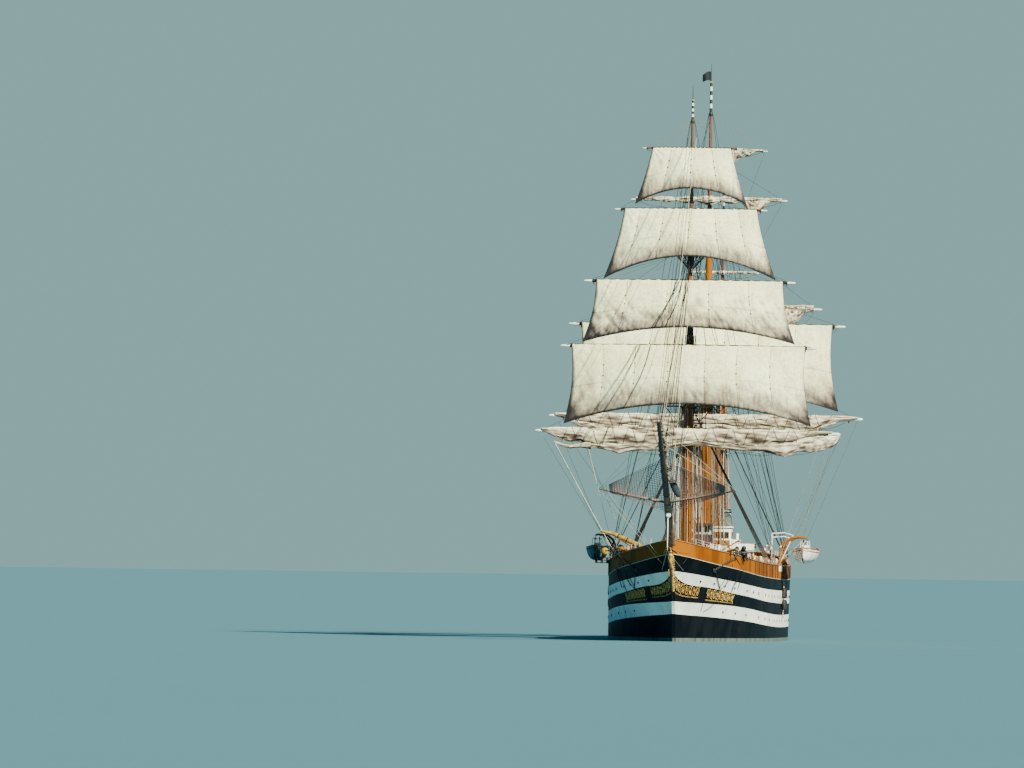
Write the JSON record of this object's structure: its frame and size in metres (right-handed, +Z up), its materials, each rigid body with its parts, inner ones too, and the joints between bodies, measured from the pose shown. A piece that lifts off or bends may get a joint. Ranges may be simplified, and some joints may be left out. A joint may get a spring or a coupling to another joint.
{
  "type": "three-masted full-rigged sailing ship, 1:10 scale model",
  "caption": "Three-masted full-rigged ship with banded steel hull, braced yards with set and furled square sails, bowsprit, deckhouses, boats, rudder and screw; 1:10 scale model.",
  "frame": {"origin": "on the centreline amidships, at the waterline the ship floats at", "axes": "+X to port, +Y aft (the bow points to -Y), +Z up"},
  "size_m": [2.88, 10.0884, 6.0116],
  "materials": {
    "black_paint": "satin black hull paint",
    "white_paint": "satin white paint",
    "ochre_paint": "satin ochre paint",
    "gilding": "gilded carving",
    "timber": "varnished",
    "canvas": "weathered sailcloth",
    "rigging": "tarred rope and wire",
    "iron": "black paint",
    "bronze": "cast"
  },
  "bodies": {
    "hull": {"hull_bottom": "black_paint", "hull_lower_white_band": "white_paint", "hull_middle_black_band": "black_paint", "hull_upper_white_band": "white_paint", "hull_upper_black_band": "black_paint", "bulwark_fore_port": "ochre_paint", "bulwark_aft_port": "ochre_paint", "anchor_port": "iron", "boat_port": "white_paint", "davits_port": "ochre_paint", "bulwark_fore_starboard": "ochre_paint", "bulwark_aft_starboard": "ochre_paint", "anchor_starboard": "iron", "boat_starboard": "white_paint", "davits_starboard": "ochre_paint", "figurehead": "gilding", "bowsprit": "timber", "fore_deckhouse": "white_paint", "main_deckhouse": "white_paint", "bridge_house": "white_paint", "chart_house": "white_paint", "fore_lower_mast": "ochre_paint", "fore_topmast": "ochre_paint", "fore_shrouds_port": "rigging", "fore_shrouds_starboard": "rigging", "main_lower_mast": "ochre_paint", "main_topmast": "ochre_paint", "main_shrouds_port": "rigging", "main_shrouds_starboard": "rigging", "mizzen_lower_mast": "ochre_paint", "mizzen_topmast": "ochre_paint", "mizzen_shrouds_port": "rigging", "mizzen_shrouds_starboard": "rigging", "fore_topmast_stay": "rigging", "main_stay": "rigging", "mizzen_stay": "rigging"},
    "rudder": {"rudder": "black_paint"},
    "propeller": {"propeller": "bronze"},
    "fore_yards": {"fore_course_yard": "timber", "fore_lower_topsail_yard": "timber", "fore_upper_topsail_yard": "timber", "fore_topgallant_yard": "timber", "fore_royal_yard": "timber", "fore_lower_topsail_sail": "canvas", "fore_upper_topsail_sail": "canvas", "fore_topgallant_sail": "canvas", "fore_royal_sail": "canvas"},
    "main_yards": {"main_course_yard": "timber", "main_lower_topsail_yard": "timber", "main_upper_topsail_yard": "timber", "main_topgallant_yard": "timber", "main_royal_yard": "timber", "main_lower_topsail_sail": "canvas"},
    "mizzen_yards": {"mizzen_course_yard": "timber", "mizzen_lower_topsail_yard": "timber", "mizzen_upper_topsail_yard": "timber", "mizzen_topgallant_yard": "timber", "mizzen_royal_yard": "timber"},
    "spanker": {"spanker_boom": "timber", "spanker_gaff": "timber"}
  },
  "joints": [
    {"name": "fore_yards_brace", "type": "hinge", "parent": "hull", "child": "fore_yards", "pos_m": [0, -2.1, 0], "axis": [0, 0, 1], "range_deg": [-30, 30]},
    {"name": "main_yards_brace", "type": "hinge", "parent": "hull", "child": "main_yards", "pos_m": [0, 0.38, 0], "axis": [0, 0, 1], "range_deg": [-30, 30]},
    {"name": "mizzen_yards_brace", "type": "hinge", "parent": "hull", "child": "mizzen_yards", "pos_m": [0, 2.38, 0], "axis": [0, 0, 1], "range_deg": [-30, 30]},
    {"name": "spanker_swing", "type": "hinge", "parent": "hull", "child": "spanker", "pos_m": [0, 2.38, 0], "axis": [0, 0, 1], "range_deg": [-45, 45]},
    {"name": "rudder_turn", "type": "hinge", "parent": "hull", "child": "rudder", "pos_m": [0, 3.252, 0], "axis": [0, 0, 1], "range_deg": [-35, 35]},
    {"name": "propeller_spin", "type": "hinge", "parent": "hull", "child": "propeller", "pos_m": [0, 3.125, -0.365], "axis": [0, 1, 0], "continuous": true}
  ]
}
